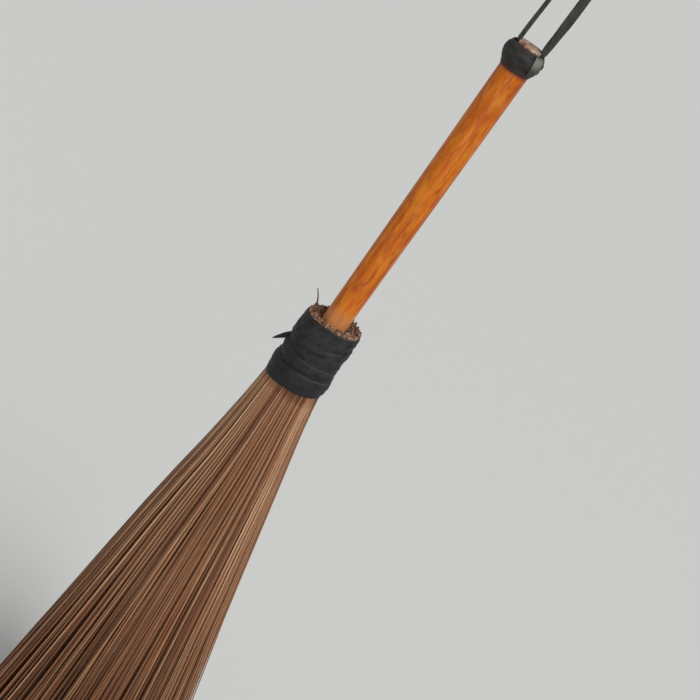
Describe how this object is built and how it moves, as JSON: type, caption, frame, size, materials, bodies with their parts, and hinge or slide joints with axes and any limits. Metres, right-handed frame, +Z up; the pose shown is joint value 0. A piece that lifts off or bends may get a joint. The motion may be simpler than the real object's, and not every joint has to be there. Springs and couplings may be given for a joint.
{
  "type": "hand broom",
  "caption": "Upright hand broom: a fan of stiff plant ribs bound with a rubber strip round a tapered varnished stick, with a strap loop to hang it by.",
  "frame": {"origin": "middle of the fan's outline on the floor, under the rib tips", "axes": "+Z up along the handle, which stands to the -X side of the origin; +X is the side to which the fan leans; -Y is the side seen in the picture"},
  "size_m": [0.1902, 0.1268, 0.8664],
  "materials": {
    "stick_wood": "varnished",
    "palm_rib": "natural",
    "binding_rubber": "matte",
    "strap_rubber": "matte"
  },
  "bodies": {
    "broom": {"handle_stick": "stick_wood", "rib_binding": "binding_rubber", "ribs_inner_01": "palm_rib", "ribs_inner_02": "palm_rib", "ribs_inner_03": "palm_rib", "ribs_inner_04": "palm_rib", "ribs_inner_05": "palm_rib", "ribs_inner_06": "palm_rib", "ribs_outer_01": "palm_rib", "ribs_outer_02": "palm_rib", "ribs_outer_03": "palm_rib", "ribs_outer_04": "palm_rib", "ribs_outer_05": "palm_rib", "ribs_outer_06": "palm_rib", "ribs_outer_07": "palm_rib", "ribs_outer_08": "palm_rib", "ribs_outer_09": "palm_rib", "ribs_outer_10": "palm_rib", "ribs_outer_11": "palm_rib", "ribs_outer_12": "palm_rib", "strap_ends": "strap_rubber", "top_binding": "binding_rubber"},
    "loop": {"hanging_loop": "strap_rubber"}
  },
  "joints": [
    {"name": "loop_swing", "type": "hinge", "parent": "broom", "child": "loop", "pos_m": [-0.021, 0, 0.78714], "axis": [1, 0, 0], "range_deg": [-100, 100]}
  ]
}
